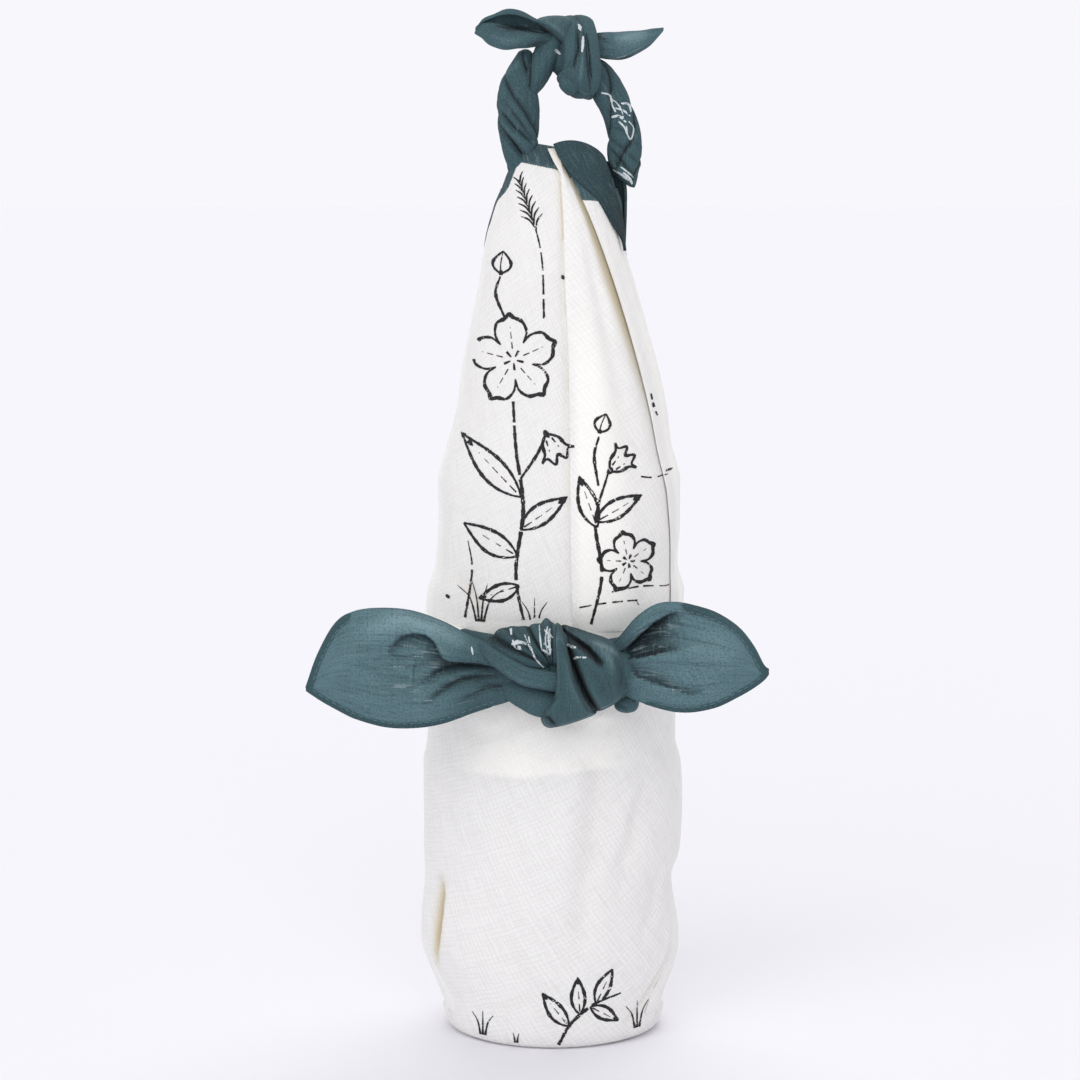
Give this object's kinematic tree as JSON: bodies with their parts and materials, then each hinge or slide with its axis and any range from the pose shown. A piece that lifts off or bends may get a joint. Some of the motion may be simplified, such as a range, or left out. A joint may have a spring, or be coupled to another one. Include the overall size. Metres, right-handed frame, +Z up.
{
  "type": "furoshiki bottle wrap",
  "caption": "Square cotton cloth knotted as an upright carrying wrap for one bottle, with a twisted ring handle on top and a bow tied round the waist.",
  "frame": {"origin": "middle of the flat base, under the bottle space", "axes": "+Z up along the bottle space, -Y towards the front with the bow, +X to the right seen from the front"},
  "size_m": [0.1544, 0.1182, 0.3553],
  "materials": {
    "cloth": "matt slub-weave cotton, off-white with a deep teal border"
  },
  "bodies": {
    "root": {"furoshiki_cloth": "cloth"}
  },
  "joints": []
}
